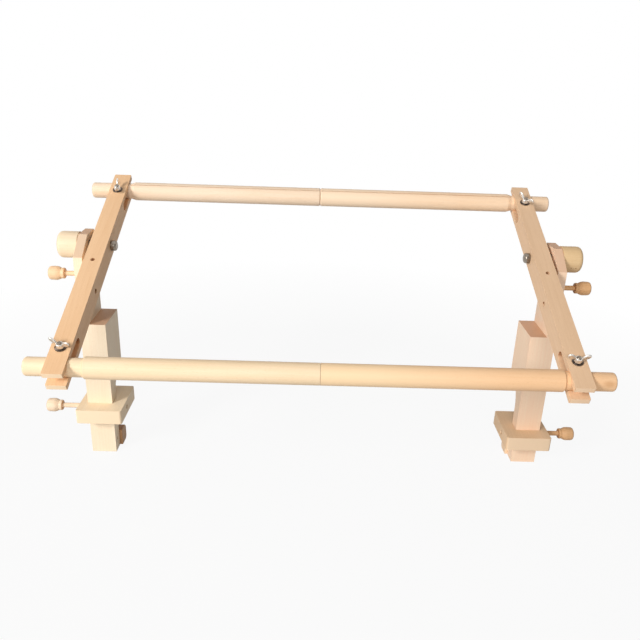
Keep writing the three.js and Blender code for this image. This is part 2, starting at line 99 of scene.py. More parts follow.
# Wood's pattern: how often each field repeats in a metre, along the grain and across it both ways
DRIFT_PER_METRE = (5, 30, 30)
RINGS_PER_METRE = (2, 62, 62)
FIBRES_PER_METRE = (28, 900, 900)
PORES_PER_METRE = (260, 3400, 3400)
PATCHES_PER_METRE = (6, 45, 45)
FLECKS_PER_METRE = (330, 2300, 2300)
NOISE_MIDDLE = (0.3, 0.7)
DRIFT_REACH = 16 * MM
RING_SHARPNESS = 2.2
RING_STRENGTH = 0.14
ROD_RING_STRENGTH = 0.12
FIBRE_STRENGTH = 0.25
SCREW_FIBRE_STRENGTH = 0.45
PATCH_STRENGTH = 0.35
FLECK_LEVELS = (0.66, 0.74)
FLECK_STRENGTH = 0.15
FLECK_TONE_SHARE = (0.68, 0.56, 0.46, 1)
END_GRAIN_FACING = (0.55, 0.95)
END_GRAIN_STRENGTH = (0.75, 1.0)
FIBRE_RELIEF_SHARE = 0.7
WOOD_ROUGHNESS = (0.46, 0.62)
WOOD_SPECULAR = 0.35
WOOD_BUMP = {"Strength": 0.25, "Distance": 0.1 * MM}
MARK_EDGE = (0.3, 1.0)

# Plating's pattern
SMEARS_PER_METRE = (260, 260, 260)
CASTING_PER_METRE = (900, 900, 900)
SMEAR_LEVELS = (0.35, 0.7)
PLATE_ROUGHNESS = (0.26, 0.42)
PLATE_BUMP = {"Strength": 0.2, "Distance": 0.05 * MM}

# Turned wood
LATHE_SIDES = 96
CORNER_POINTS = 7
ROD_EDGE = 0.6 * MM
ROD_END_ROUND = 3 * MM
ROD_END_D = 20.5 * MM
ROD_SHOULDER = {"front_rod_left": 247.5 * MM, "front_rod_right": 258 * MM,
                "back_rod_left": 258.5 * MM, "back_rod_right": 258.5 * MM}
ROD_CONE_LENGTH = {"front": 1.5 * MM, "back": 5 * MM}
ROD_SEAM_BEVEL = {"front": 0.15 * MM, "back": 1.8 * MM}
ROD_SLOT_WIDTH = 1.4 * MM
ROD_SLOT_DEPTH = 5 * MM
ROD_SLOT_TURN_DEG = {"front": -60, "back": 100}
KNOB_ROUND = 6 * MM
KNOB_EDGE = 1.2 * MM
SCREW_SHANK_D = 6.4 * MM
SCREW_COLLAR_D = 13.8 * MM
SCREW_NICK_D = 13 * MM
SCREW_HEAD_D = 18 * MM
SCREW_HEAD_LENGTH = 20 * MM
SCREW_COLLAR_LENGTH = 3.4 * MM
SCREW_NICK_LENGTH = 0.7 * MM
SCREW_FLARE_LENGTH = 8.6 * MM
SCREW_HEAD_TAPER = 0.4 * MM
SCREW_TIP_ROUND = 1 * MM
SCREW_NECK_ROUND = 0.6 * MM
SCREW_COLLAR_ROUNDS = (1.6 * MM, 0.8 * MM)
SCREW_NICK_ROUND = 0.3 * MM
SCREW_FLARE_ROUND = 3 * MM
SCREW_END_ROUND = 3.6 * MM

# Boards
BAR_HEIGHT = 25 * MM
SAWN_END_DEPTH = 1 * MM
SAWN_END_FACING = 0.9
BOARD_EASING = 0.9 * MM
JAW_EASING = 3 * MM
EASING_STEPS = 3
FLAT_ANGLE_DEG = 1
EDGE_ANGLE_DEG = 40

# Plated fittings
NUT_HUB_D = 9 * MM
NUT_HUB_TOP_D = 7.2 * MM
NUT_HUB_HEIGHT = 5 * MM
NUT_BORE_D = 5.2 * MM
NUT_FOOT_ROUND = 0.4 * MM
NUT_TOP_ROUND = 0.7 * MM
NUT_BORE_ROUND = 0.2 * MM
WING_SPAN = 24 * MM
WING_TOP = 11 * MM
WING_THICKNESS = 2.4 * MM
WING_LENGTH = 11 * MM
WING_WIDTH = 6 * MM
WING_SINK = 0.3 * MM
WING_MIDDLE_SHARE = 0.54
WING_EGG_SHARE = 0.25
WING_EDGE_POWER = 0.45
WING_BULGE_POWER = 0.8
WING_OUTLINE_POINTS = 48
WING_BULGE_POINTS = 15
WING_LEAN_DEG = 35
WING_TURN_DEG = {"left_front": -20, "left_back": 95, "right_front": 0, "right_back": -55}
THREAD_D = 5 * MM
THREAD_PITCH = 0.8 * MM
THREAD_CUT = 0.4 * MM
THREAD_SIDES = 24
THREAD_STEPS = 8
HEAD_DOME_INSET = 1.6 * MM
HEAD_DOME_ROUND = 2 * MM
FITTING_EDGE = 0.3 * MM
FITTING_SIDES = 48
BOLT_HEAD_D = 12 * MM
BOLT_HEAD_HEIGHT = 2.6 * MM
BOLT_TIP = 1.2 * MM
SEAT_GAP = 0.3 * MM
WASHER_D = 12.5 * MM
WASHER_THICKNESS = 1 * MM
WASHER_FOOT_ROUND = 0.2 * MM
WASHER_BORE_ROUND = 0.1 * MM
PIVOT_HEAD_D = 13 * MM
PIVOT_HEAD_HEIGHT = 7 * MM
PIVOT_DOME_HEIGHT = 2.2 * MM
PIVOT_DOME_EDGE = 1.2 * MM
PIVOT_BOLT_D = 6 * MM
PIVOT_TIP_ROUND = 0.6 * MM
PIVOT_WASHER_D = 14 * MM
PIVOT_SIDES = 64

joints = {joint["name"]: joint for joint in frame["joints"]}
pivot = np.array(joints["frame_tilt"]["pos_m"])
frame_up = np.array(joints["wing_nut_left_front_turn"]["axis"])
tilt = math.atan2(-frame_up[1], frame_up[2])
sides = {"left": -1, "right": 1}
middle_x = (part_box("side_bar_left")[0].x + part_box("side_bar_right")[1].x) / 2


def linear(red, green, blue):
    """A colour written as it looks on a screen, 0 to 255, as the light that it stands for."""
    share = np.array([red, green, blue]) / 255
    light = np.where(share <= 0.04045, share / 12.92, ((share + 0.055) / 1.055) ** 2.4)
    return (*light.tolist(), 1)


def shape_mesh(name, grids):
    """One mesh from grids of points. Each grid is a tube: its rows follow on, its columns close in a ring."""
    points, faces, start = [], [], 0
    for grid in grids:
        rows, columns = grid.shape[:2]
        row, column = np.meshgrid(np.arange(rows - 1), np.arange(columns), indexing="ij")
        beside = (column + 1) % columns
        corners = np.stack([row * columns + column, row * columns + beside,
                            (row + 1) * columns + beside, (row + 1) * columns + column], axis=-1)
        points.append(grid.reshape(-1, 3))
        faces.append(corners.reshape(-1, 4) + start)
        start += rows * columns
    mesh = bpy.data.meshes.new(name)
    mesh.from_pydata(np.concatenate(points), [], np.concatenate(faces))
    tidy = bmesh.new()
    tidy.from_mesh(mesh)
    bmesh.ops.remove_doubles(tidy, verts=tidy.verts, dist=MERGE_DISTANCE)
    bmesh.ops.dissolve_degenerate(tidy, edges=tidy.edges, dist=MERGE_DISTANCE)
    bmesh.ops.recalc_face_normals(tidy, faces=tidy.faces)
    tidy.to_mesh(mesh)
    tidy.free()
    return mesh


def place_piece(name, mesh, material, node):
    """Puts a finished mesh into the scene in place of a CAD node, on that node's body."""
    mesh.materials.clear()
    mesh.materials.append(material)
    mesh.shade_smooth()
    mesh.set_sharp_from_angle(angle=math.radians(EDGE_ANGLE_DEG))
    piece = bpy.data.objects.new(name, mesh)
    bpy.context.scene.collection.objects.link(piece)
    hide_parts(node)
    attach(piece, body_of(frame["nodes"][node])[0])
    return piece


def softened(corners):
    """A profile of (along, radius, rounding) corners. Each turns into a parabola over its own rounding."""
    rows = np.array(corners, float)
    points, rounding = rows[:, :2], rows[:, 2:]
    back = np.vstack([np.zeros((1, 2)), points[:-1] - points[1:]])
    ahead = np.vstack([points[1:] - points[:-1], np.zeros((1, 2))])
    back /= np.maximum(np.linalg.norm(back, axis=1, keepdims=True), SMALLEST)
    ahead /= np.maximum(np.linalg.norm(ahead, axis=1, keepdims=True), SMALLEST)
    step = np.linspace(0, 1, CORNER_POINTS)[None, :, None]
    start, end = (points + back * rounding)[:, None], (points + ahead * rounding)[:, None]
    corner = points[:, None]
    return ((1 - step) ** 2 * start + 2 * step * (1 - step) * corner + step ** 2 * end).reshape(-1, 2)


def turned(profile, columns=LATHE_SIDES):
    """A turned surface round X: at the distance a along it, the point at angle t is (a, r cos t, r sin t)."""
    angle = np.linspace(0, 2 * np.pi, columns, endpoint=False)
    along, radius = profile[:, :1], profile[:, 1:]
    return np.stack([along + 0 * angle, radius * np.cos(angle), radius * np.sin(angle)], axis=-1)


def along_x(points, side, y, z):
    """Points whose axis is X, pointed to one side of the frame's middle and moved to a depth and a height."""
    return points * np.array([side, 1, 1]) + np.array([middle_x, y, z])


def along_frame_up(points, foot):
    """Points whose axis is X, stood up square to the tilted bars, with zero at the foot point."""
    across = np.array([1, 0, 0])
    inward = np.cross(frame_up, across)
    return points[..., :1] * frame_up + points[..., 1:2] * across + points[..., 2:] * inward + foot


def add_node(tree, kind, values=None, **settings):
    """A shader node with its settings and its unlinked sockets' values."""
    node = tree.nodes.new(kind)
    for key, value in settings.items():
        setattr(node, key, value)
    for key, value in (values or {}).items():
        node.inputs[key].default_value = value
    return node


def scaled(tree, vector, factors):
    """A vector with each of its coordinates times its own factor."""
    node = add_node(tree, "ShaderNodeVectorMath", {1: factors}, operation="MULTIPLY")
    tree.links.new(vector, node.inputs[0])
    return node.outputs[0]


def noise(tree, vector, factors, detail=2.0, roughness=0.5):
    """A noise field stretched by the factors."""
    node = add_node(tree, "ShaderNodeTexNoise", {"Scale": 1.0, "Detail": detail, "Roughness": roughness})
    tree.links.new(scaled(tree, vector, factors), node.inputs["Vector"])
    return node.outputs["Fac"]


def ranged(tree, value, low, high, to_low=0.0, to_high=1.0):
    """A value moved from one range to another and held inside it."""
    node = add_node(tree, "ShaderNodeMapRange", {"From Min": low, "From Max": high, "To Min": to_low,
                                                 "To Max": to_high})
    tree.links.new(value, node.inputs["Value"])
    return node.outputs["Result"]


def reckon(tree, operation, *values, clamp=False):
    """One step of arithmetic on numbers and sockets."""
    node = add_node(tree, "ShaderNodeMath", operation=operation, use_clamp=clamp)
    for place, value in enumerate(values):
        if isinstance(value, (int, float)):
            node.inputs[place].default_value = value
        else:
            tree.links.new(value, node.inputs[place])
    return node.outputs[0]


def blended(tree, share, first, second, blend_type="MIX"):
    """Two colours blended by a share. A mix node keeps its colour sockets at places 6 and 7."""
    node = add_node(tree, "ShaderNodeMix", data_type="RGBA", blend_type=blend_type)
    for place, value in ((0, share), (6, first), (7, second)):
        if isinstance(value, (int, float, tuple)):
            node.inputs[place].default_value = value
        else:
            tree.links.new(value, node.inputs[place])
    return node.outputs[2]


def new_group(name, inputs):
    """An empty node group that puts out a colour, a roughness and a height."""
    tree = bpy.data.node_groups.new(name, "ShaderNodeTree")
    outputs = {"Colour": "Color", "Roughness": "Float", "Height": "Float"}
    for sockets, direction in ((inputs, "INPUT"), (outputs, "OUTPUT")):
        for socket, kind in sockets.items():
            tree.interface.new_socket(socket, in_out=direction, socket_type=f"NodeSocket{kind}")
    return tree, tree.nodes.new("NodeGroupInput").outputs, tree.nodes.new("NodeGroupOutput").inputs


def wood_group():
    """Pale close-grained wood, its grain along X: rings round X, long fibres, short flecks and end grain."""
    tree, inside, result = new_group("close_grained_wood", {
        "Place": "Vector", "Facing": "Vector", "Pale": "Color", "Deep": "Color", "End": "Color",
        "Ring strength": "Float", "Fibre strength": "Float", "Fleck strength": "Float",
    })
    place = inside["Place"]

    # Growth rings that wander slowly along the board
    drift = noise(tree, place, DRIFT_PER_METRE, detail=1.0)
    wandering = add_node(tree, "ShaderNodeVectorMath", {"Scale": DRIFT_REACH}, operation="SCALE")
    shift = add_node(tree, "ShaderNodeCombineXYZ")
    tree.links.new(drift, shift.inputs["Y"])
    tree.links.new(drift, shift.inputs["Z"])
    tree.links.new(shift.outputs[0], wandering.inputs[0])
    moved = add_node(tree, "ShaderNodeVectorMath", operation="ADD")
    tree.links.new(place, moved.inputs[0])
    tree.links.new(wandering.outputs[0], moved.inputs[1])
    wave = {"Scale": 1.0, "Distortion": 0.6, "Detail": 2.0, "Detail Scale": 1.2}
    rings = add_node(tree, "ShaderNodeTexWave", wave,
                     wave_type="RINGS", rings_direction="X", wave_profile="SAW")
    tree.links.new(scaled(tree, moved.outputs[0], RINGS_PER_METRE), rings.inputs["Vector"])
    ring = reckon(tree, "POWER", rings.outputs["Fac"], RING_SHARPNESS)

    # Long fibres, fine pores, wide patches and short flecks
    fibre = noise(tree, place, FIBRES_PER_METRE, detail=3.0, roughness=0.6)
    pore = noise(tree, place, PORES_PER_METRE, detail=1.0)
    cloud = noise(tree, place, PATCHES_PER_METRE)
    fleck = ranged(tree, noise(tree, place, FLECKS_PER_METRE, detail=0.0), *FLECK_LEVELS)

    # The deeper tone gathers from rings, fibres and patches, and flecks lie on top
    tone = reckon(tree, "MULTIPLY", ring, inside["Ring strength"])
    streak = reckon(tree, "MULTIPLY", ranged(tree, fibre, *NOISE_MIDDLE), inside["Fibre strength"])
    patch = ranged(tree, cloud, *NOISE_MIDDLE, 0.0, PATCH_STRENGTH)
    depth = reckon(tree, "ADD", reckon(tree, "ADD", tone, streak), patch, clamp=True)
    board = blended(tree, depth, inside["Pale"], inside["Deep"])
    fleck_tone = blended(tree, 1.0, inside["Deep"], FLECK_TONE_SHARE, "MULTIPLY")
    flecked = blended(tree, reckon(tree, "MULTIPLY", fleck, inside["Fleck strength"]), board, fleck_tone)

    # End grain has its own tone, where the surface faces along the grain
    apart = add_node(tree, "ShaderNodeSeparateXYZ")
    tree.links.new(inside["Facing"], apart.inputs[0])
    facing = ranged(tree, reckon(tree, "ABSOLUTE", apart.outputs["X"]), *END_GRAIN_FACING)
    end_tone = reckon(tree, "MULTIPLY", facing, ranged(tree, pore, *NOISE_MIDDLE, *END_GRAIN_STRENGTH))
    tree.links.new(blended(tree, end_tone, flecked, inside["End"]), result["Colour"])
    tree.links.new(ranged(tree, fibre, *NOISE_MIDDLE, *WOOD_ROUGHNESS), result["Roughness"])
    fibre_relief = reckon(tree, "MULTIPLY", fibre, FIBRE_RELIEF_SHARE)
    pore_relief = reckon(tree, "MULTIPLY", pore, 1 - FIBRE_RELIEF_SHARE)
    tree.links.new(reckon(tree, "ADD", fibre_relief, pore_relief), result["Height"])
    return tree


def plate_group():
    """Bright plating: fine casting bumps, faint smears and slightly duller patches."""
    inputs = {"Place": "Vector", "Bright": "Color", "Dull": "Color"}
    tree, inside, result = new_group("bright_plating", inputs)
    smear = noise(tree, inside["Place"], SMEARS_PER_METRE, detail=3.0)
    casting = noise(tree, inside["Place"], CASTING_PER_METRE)
    dulled = ranged(tree, smear, *SMEAR_LEVELS)
    tree.links.new(blended(tree, dulled, inside["Bright"], inside["Dull"]), result["Colour"])
    tree.links.new(ranged(tree, smear, *NOISE_MIDDLE, *PLATE_ROUGHNESS), result["Roughness"])
    tree.links.new(casting, result["Height"])
    return tree


wood_effect = wood_group()
plate_effect = plate_group()

# How each board is turned so that its grain lies along X
ALONG_RODS = (0, 0, 0)
ALONG_BARS = (-tilt, 0, -math.pi / 2)
ALONG_POSTS = (0, math.pi / 2, 0)
FRONT_BACK = (0, 0, -math.pi / 2)


def marked(tree, place, colour, marks):
    """The colour with oval marks along X, each a centre, half a length, half a width, a tone, a strength."""
    for centre, half_length, half_width, tone, strength in marks:
        offset = add_node(tree, "ShaderNodeVectorMath", {1: centre}, operation="SUBTRACT")
        tree.links.new(place, offset.inputs[0])
        distance = add_node(tree, "ShaderNodeVectorMath", operation="LENGTH")
        stretched = scaled(tree, offset.outputs[0], (1 / half_length, 1 / half_width, 1 / half_width))
        tree.links.new(stretched, distance.inputs[0])
        near = ranged(tree, distance.outputs["Value"], *MARK_EDGE, strength, 0.0)
        colour = blended(tree, near, colour, linear(*tone))
    return colour


def wood(name, pale, deep, end, grain, heart, rings=RING_STRENGTH, fibres=FIBRE_STRENGTH, marks=()):
    """A wooden finish: heart moves the middle of the growth rings, in metres, so that no two boards match."""
    material = bpy.data.materials.new(name)
    material.use_nodes = True
    tree = material.node_tree
    surface = tree.nodes["Principled BSDF"]
    source = add_node(tree, "ShaderNodeTexCoord")
    place = add_node(tree, "ShaderNodeMapping", {"Location": heart, "Rotation": grain})
    facing = add_node(tree, "ShaderNodeMapping", {"Rotation": grain}, vector_type="NORMAL")
    effect = add_node(tree, "ShaderNodeGroup", node_tree=wood_effect)
    for socket, value in (("Pale", linear(*pale)), ("Deep", linear(*deep)), ("End", linear(*end)),
                          ("Ring strength", rings), ("Fibre strength", fibres),
                          ("Fleck strength", FLECK_STRENGTH)):
        effect.inputs[socket].default_value = value
    bump = add_node(tree, "ShaderNodeBump", WOOD_BUMP)
    link = tree.links.new
    link(source.outputs["Object"], place.inputs["Vector"])
    link(source.outputs["Normal"], facing.inputs["Vector"])
    link(place.outputs[0], effect.inputs["Place"])
    link(facing.outputs[0], effect.inputs["Facing"])
    colour = marked(tree, source.outputs["Object"], effect.outputs["Colour"], marks)
    link(colour, surface.inputs["Base Color"])
    link(effect.outputs["Roughness"], surface.inputs["Roughness"])
    link(effect.outputs["Height"], bump.inputs["Height"])
    link(bump.outputs[0], surface.inputs["Normal"])
    surface.inputs["Specular IOR Level"].default_value = WOOD_SPECULAR
    return material


def plating(name, bright, dull):
    """A plated or machined metal finish."""
    material = bpy.data.materials.new(name)
    material.use_nodes = True
    tree = material.node_tree
    surface = tree.nodes["Principled BSDF"]
    source = add_node(tree, "ShaderNodeTexCoord")
    effect = add_node(tree, "ShaderNodeGroup", node_tree=plate_effect)
    effect.inputs["Bright"].default_value = linear(*bright)
    effect.inputs["Dull"].default_value = linear(*dull)
    bump = add_node(tree, "ShaderNodeBump", PLATE_BUMP)
    link = tree.links.new
    link(source.outputs["Object"], effect.inputs["Place"])
    link(effect.outputs["Colour"], surface.inputs["Base Color"])
    link(effect.outputs["Roughness"], surface.inputs["Roughness"])
    link(effect.outputs["Height"], bump.inputs["Height"])
    link(bump.outputs[0], surface.inputs["Normal"])
    surface.inputs["Metallic"].default_value = 1
    return material


nickel = plating("bright_nickel", (240, 235, 228), (204, 197, 188))
# Nickel darkened as a painted reflection: its dim colour stands for the darker surroundings that the bolt
# heads reflect
dimmed_reflection_nickel = plating("dimmed_reflection_nickel", (158, 148, 136), (118, 106, 94))
dark_steel = plating("darkened_steel", (104, 92, 84), (76, 66, 60))
brass = plating("turned_brass", (214, 178, 98), (176, 138, 66))

# Boards: pale, deep and end colours, the grain's direction and the heart's place
BOARDS = {
    "side_bar_left": ((246, 205, 162), (228, 180, 132), (160, 108, 70), ALONG_BARS, (0.1, 0.03, 0.02)),
    "side_bar_right": ((240, 203, 166), (220, 180, 140), (168, 118, 80), ALONG_BARS, (0.7, 0.05, -0.03)),
    "upright_left": ((252, 234, 206), (243, 216, 182), (206, 160, 124), ALONG_POSTS, (0.3, -0.05, 0.24)),
    "upright_right": ((252, 225, 196), (247, 204, 170), (210, 163, 128), ALONG_POSTS, (0.9, 0.06, -0.33)),
    "clamp_plate_left": ((252, 232, 200), (243, 212, 170), (248, 222, 188), FRONT_BACK, (0.2, 0.04, -0.03)),
    "clamp_plate_right": ((238, 204, 166), (220, 180, 136), (238, 209, 176), FRONT_BACK, (0.5, -0.05, 0.02)),
    # The left jaw's colours are darker as painted shade: the shade under its clamp plate and the post's
    # shadow, painted into the wood
    "lower_jaw_left": ((200, 158, 116), (164, 122, 86), (150, 108, 76), ALONG_POSTS, (0.6, 0.05, 0.3)),
    "lower_jaw_right": ((250, 222, 188), (230, 188, 148), (196, 150, 110), ALONG_POSTS, (0.4, 0.02, -0.27)),
}

# The sawn ends of the bars, painted paler: painted light on the end faces
SAWN_END_LIT_TONES = {"side_bar_left": (252, 224, 188), "side_bar_right": (249, 214, 178)}


def lit_sawn_ends(mesh, node, colours):
    """Painted light on a bar's ends: a paler finish on the faces that look along the bar and lie at its very
    ends.
    """
    pale, deep, _, grain, heart = colours
    middles, normals = np.empty(len(mesh.polygons) * 3), np.empty(len(mesh.polygons) * 3)
    mesh.polygons.foreach_get("center", middles)
    mesh.polygons.foreach_get("normal", normals)
    bar_ahead = np.array([0, frame_up[2], -frame_up[1]])
    along = middles.reshape(-1, 3) @ bar_ahead
    facing = np.abs(normals.reshape(-1, 3) @ bar_ahead)
    at_tips = (along < along.min() + SAWN_END_DEPTH) | (along > along.max() - SAWN_END_DEPTH)
    at_end = (facing > SAWN_END_FACING) & at_tips
    mesh.materials.append(wood(f"wood_{node}_ends", pale, deep, SAWN_END_LIT_TONES[node], grain, heart))
    mesh.polygons.foreach_set("material_index", at_end.astype(np.int32))


def eased_board(node, colours):
    """A merged copy of the board's mesh, its flat triangles joined and its edges eased by a small round."""
    mesh = frame["nodes"][node].data.copy()
    tidy = bmesh.new()
    tidy.from_mesh(mesh)
    bmesh.ops.remove_doubles(tidy, verts=tidy.verts, dist=MERGE_DISTANCE)
    flat = math.radians(FLAT_ANGLE_DEG)
    bmesh.ops.dissolve_limit(tidy, angle_limit=flat, verts=tidy.verts, edges=tidy.edges)
    tidy.to_mesh(mesh)
    tidy.free()
    board = place_piece(f"board_{node}", mesh, wood(f"wood_{node}", *colours), node)
    if node in SAWN_END_LIT_TONES:
        lit_sawn_ends(mesh, node, colours)
    easing = board.modifiers.new("eased_edges", "BEVEL")
    easing.width = JAW_EASING if "jaw" in node else BOARD_EASING
    easing.segments = EASING_STEPS
    easing.limit_method = "ANGLE"
    easing.angle_limit = math.radians(EDGE_ANGLE_DEG)
    easing.harden_normals = True


for node, colours in BOARDS.items():
    eased_board(node, colours)


# Marks in turned wood: place along X, degrees up from the front, half length, half width, tone, strength
MARKS = {
    "big_knob_right": [(311.4 * MM, -25, 1.3 * MM, 1.1 * MM, (146, 88, 46), 0.85),
                       (317.1 * MM, -25, 1.3 * MM, 1.1 * MM, (146, 88, 46), 0.85)],
    "front_rod_right": [(303 * MM, 12, 9 * MM, 5 * MM, (196, 142, 92), 0.5),
                        (0, 0, 190 * MM, 190 * MM, (247, 216, 174), 0.85)],
    "back_rod_right": [(0, 0, 190 * MM, 190 * MM, (248, 222, 192), 0.8)],
}


def placed_marks(node, side, radius, axis_y, axis_z):
    """The marks of a turned piece with their centres on its surface."""
    placed = []
    for along, up_deg, *rest in MARKS.get(node, ()):
        up = math.radians(up_deg)
        centre = (side * along + middle_x, axis_y - radius * math.cos(up), axis_z + radius * math.sin(up))
        placed.append((centre, *rest))
    return placed


# Rod halves: pale and deep colours, and the heart's place
ROD_COLOURS = {
    "front_rod_left": ((248, 224, 190), (242, 206, 158), (0.1, 0.02, -0.22)),
    "front_rod_right": ((248, 206, 162), (238, 186, 136), (0.8, 0.22, -0.18)),
    "back_rod_left": ((249, 226, 200), (240, 202, 162), (0.4, -0.1, -0.3)),
    "back_rod_right": ((251, 222, 190), (240, 196, 152), (0.6, -0.2, -0.36)),
}
ROD_END_TONE = (224, 182, 134)


def rod_half(node):
    """Half a rod: rings of radius r(a), but along the fabric slot two columns drop to the slot's floor."""
    low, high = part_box(node)
    end_name, _, side_name = node.split("_")
    side = sides[side_name]
    start, reach = sorted(side * (x - middle_x) for x in (low.x, high.x))
    shoulder = ROD_SHOULDER[node]
    thick = (high.z - low.z) / 2
    rows = softened([
        (start, 0, 0), (start, thick, ROD_SEAM_BEVEL[end_name]),
        (shoulder - ROD_CONE_LENGTH[end_name], thick, ROD_EDGE), (shoulder, ROD_END_D / 2, ROD_EDGE),
        (reach, ROD_END_D / 2, ROD_END_ROUND), (reach, 0, 0),
    ])
    # The slot runs from the seam's edge to the foot of the shoulder's cone
    cut = slice(CORNER_POINTS, 3 * CORNER_POINTS + CORNER_POINTS // 2)
    half_slot = math.asin(ROD_SLOT_WIDTH / 2 / thick)
    round_angles = np.linspace(half_slot, 2 * np.pi - half_slot, LATHE_SIDES)
    angle = np.concatenate([round_angles, [-half_slot / 2, half_slot / 2]])
    out = rows[:, 1:] * np.cos(angle)
    across = rows[:, 1:] * np.sin(angle)
    out[cut, -2:] = thick - ROD_SLOT_DEPTH
    across[cut, -2:] = np.array([-1, 1]) * ROD_SLOT_WIDTH / 2
    turn = math.radians(ROD_SLOT_TURN_DEG[end_name]) + tilt
    axis_y, axis_z = (low.y + high.y) / 2, (low.z + high.z) / 2
    grid = np.stack([side * rows[:, :1] + middle_x + 0 * angle,
                     out * math.cos(turn) - across * math.sin(turn) + axis_y,
                     out * math.sin(turn) + across * math.cos(turn) + axis_z], axis=-1)
    pale, deep, heart = ROD_COLOURS[node]
    marks = placed_marks(node, side, ROD_END_D / 2, axis_y, axis_z)
    finish = wood(f"wood_{node}", pale, deep, ROD_END_TONE, ALONG_RODS, heart, ROD_RING_STRENGTH, marks=marks)
    place_piece(f"turned_{node}", shape_mesh(node, [grid]), finish, node)


for node in ROD_COLOURS:
    rod_half(node)


# Knobs and thumb screws: pale, deep and end colours
KNOB_COLOURS = {"left": ((248, 226, 196), (238, 206, 164), (222, 178, 130)),
                "right": ((234, 202, 156), (212, 172, 122), (196, 150, 102))}
SCREW_COLOURS = {
    "upper_screw_left": ((252, 222, 184), (234, 188, 142), (214, 160, 116)),
    "upper_screw_right": ((250, 202, 148), (212, 157, 105), (180, 126, 77)),
    "lower_screw_left": ((250, 230, 204), (234, 198, 160), (208, 160, 116)),
    "lower_screw_right": ((226, 180, 132), (198, 148, 100), (170, 118, 72)),
}


def big_knob(side_name):
    """A turned knob: a straight drum with a wide round at its outer end and a small one at its foot."""
    side = sides[side_name]
    low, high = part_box(f"big_knob_{side_name}")
    foot, end = sorted(abs(x - middle_x) for x in (low.x, high.x))
    radius = (high.z - low.z) / 2
    profile = softened([(foot, 0, 0), (foot, radius, KNOB_EDGE), (end, radius, KNOB_ROUND), (end, 0, 0)])
    points = along_x(turned(profile), side, pivot[1], pivot[2])
    node = f"big_knob_{side_name}"
    marks = placed_marks(node, side, radius, pivot[1], pivot[2])
    heart = (0.3 * side, -0.02, -0.3)
    finish = wood(f"wood_{node}", *KNOB_COLOURS[side_name], ALONG_RODS, heart, marks=marks)
    place_piece(f"turned_{node}", shape_mesh("big_knob", [points]), finish, node)


def thumb_screw(node, side):
    """A turned thumb screw: shank, round collar, a nick behind it, a flare and a head with a round end."""
    low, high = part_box(node)
    tip, end = sorted(abs(x - middle_x) for x in (low.x, high.x))
    neck = end - SCREW_HEAD_LENGTH
    shank, collar, nick, head = (d / 2 for d in (SCREW_SHANK_D, SCREW_COLLAR_D, SCREW_NICK_D, SCREW_HEAD_D))
    collar_end = neck + SCREW_COLLAR_LENGTH
    profile = softened([
        (tip, 0, 0), (tip, shank, SCREW_TIP_ROUND), (neck, shank, SCREW_NECK_ROUND),
        (neck, collar, SCREW_COLLAR_ROUNDS[0]), (collar_end, collar, SCREW_COLLAR_ROUNDS[1]),
        (collar_end + SCREW_NICK_LENGTH, nick, SCREW_NICK_ROUND),
        (neck + SCREW_FLARE_LENGTH, head, SCREW_FLARE_ROUND),
        (end, head - SCREW_HEAD_TAPER, SCREW_END_ROUND), (end, 0, 0),
    ])
    points = along_x(turned(profile), side, (low.y + high.y) / 2, (low.z + high.z) / 2)
    heart = (0.2 * side, 0.1, -0.2)
    colours = SCREW_COLOURS[node]
    finish = wood(f"wood_{node}", *colours, ALONG_RODS, heart, fibres=SCREW_FIBRE_STRENGTH)
    place_piece(f"turned_{node}", shape_mesh(node, [points]), finish, node)


for side_name, side in sides.items():
    big_knob(side_name)
    thumb_screw(f"upper_screw_{side_name}", side)
    thumb_screw(f"lower_screw_{side_name}", side)


def wing(turn):
    """One wing: a leaning egg-shaped outline that shrinks to its middle as its surface bulges both ways."""
    angle = np.linspace(0, 2 * np.pi, WING_OUTLINE_POINTS, endpoint=False)
    middle = np.array([(NUT_HUB_TOP_D + WING_SPAN) / 4 - WING_SINK, WING_TOP * WING_MIDDLE_SHARE])
    lean = math.radians(WING_LEAN_DEG)
    turned_up = np.array([[math.cos(lean), math.sin(lean)], [-math.sin(lean), math.cos(lean)]])
    half_width = WING_WIDTH / 2 * (1 + WING_EGG_SHARE * np.cos(angle))
    egg = np.stack([np.cos(angle) * WING_LENGTH / 2, np.sin(angle) * half_width], axis=-1) @ turned_up
    bulge = np.linspace(-np.pi / 2, np.pi / 2, WING_BULGE_POINTS)[:, None]
    outline = middle + egg[None] * (np.cos(bulge) ** WING_EDGE_POWER)[..., None]
    rise = np.sign(bulge) * np.abs(np.sin(bulge)) ** WING_BULGE_POWER
    out, across = outline[..., 0], WING_THICKNESS / 2 * rise + 0 * angle
    return np.stack([outline[..., 1], out * math.cos(turn) - across * math.sin(turn),
                     out * math.sin(turn) + across * math.cos(turn)], axis=-1)


def threaded(start, end):
    """A screw thread round X: its radius falls in a wave that moves round once for each pitch along it."""
    angle = np.linspace(0, 2 * np.pi, THREAD_SIDES, endpoint=False)
    along = np.arange(start, end, THREAD_PITCH / THREAD_STEPS)[:, None]
    wave = np.abs(((along / THREAD_PITCH - angle / (2 * np.pi)) % 1) * 2 - 1)
    fade = np.clip((end - along) / THREAD_PITCH, 0, 1)
    radius = THREAD_D / 2 - THREAD_CUT * wave * fade - THREAD_CUT * (1 - fade)
    tube = np.stack([along + 0 * angle, radius * np.cos(angle), radius * np.sin(angle)], axis=-1)
    caps = np.zeros((1, THREAD_SIDES, 3))
    return np.concatenate([caps + [start, 0, 0], tube, caps + [along[-1, 0], 0, 0]])


